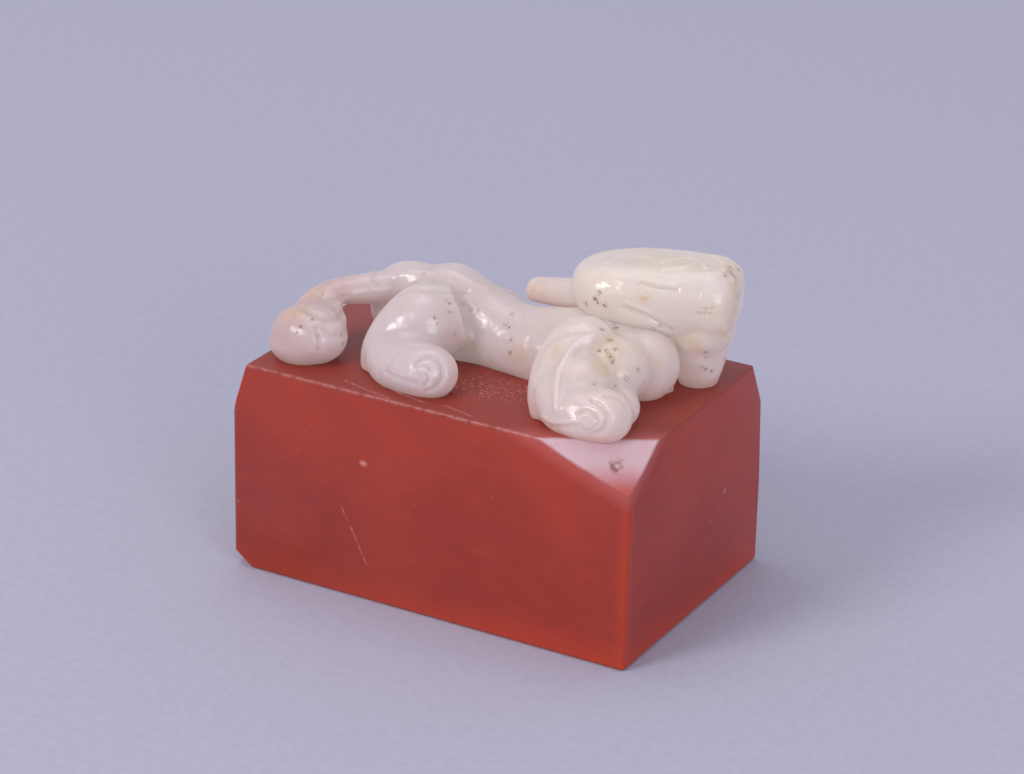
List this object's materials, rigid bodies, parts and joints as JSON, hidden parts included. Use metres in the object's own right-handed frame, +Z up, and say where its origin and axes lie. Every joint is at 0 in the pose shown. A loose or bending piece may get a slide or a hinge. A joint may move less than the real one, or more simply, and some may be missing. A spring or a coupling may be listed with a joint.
{
  "type": "seal stamp",
  "caption": "Small stone seal: oblong red block with bevelled edges, a crawling hornless dragon carved on top in paler stone, and a face below for printing with ink paste",
  "frame": {"origin": "centre of the face that prints, which is also the middle of the bottom of the bounding box along Z; the head overhangs the block a little at +X", "axes": "+X along the seal towards the dragon's head, -Y the near side, where the tail's curl and the scrolled paws lie, +Z up from the printing face"},
  "size_m": [0.0267, 0.017, 0.0201],
  "materials": {
    "red_stone": "polished red-brown agate, faintly mottled, opaque but for a glow at the edges",
    "pale_stone": "polished milky agate, translucent, pinkish near the red layer"
  },
  "bodies": {
    "root": {"seal_block": "red_stone", "white_corner_layer": "pale_stone", "dragon_torso": "pale_stone", "dragon_skull": "pale_stone", "dragon_muzzle": "pale_stone", "dragon_chest": "pale_stone", "mane_lock": "pale_stone", "near_hind_leg": "pale_stone", "near_hind_scroll": "pale_stone", "near_hind_paw": "pale_stone", "far_hind_leg": "pale_stone", "far_hind_paw": "pale_stone", "near_foreleg": "pale_stone", "near_fore_scroll": "pale_stone", "near_fore_paw": "pale_stone", "far_foreleg": "pale_stone", "far_fore_paw": "pale_stone", "tail_curl": "pale_stone", "tail": "pale_stone"}
  },
  "joints": []
}
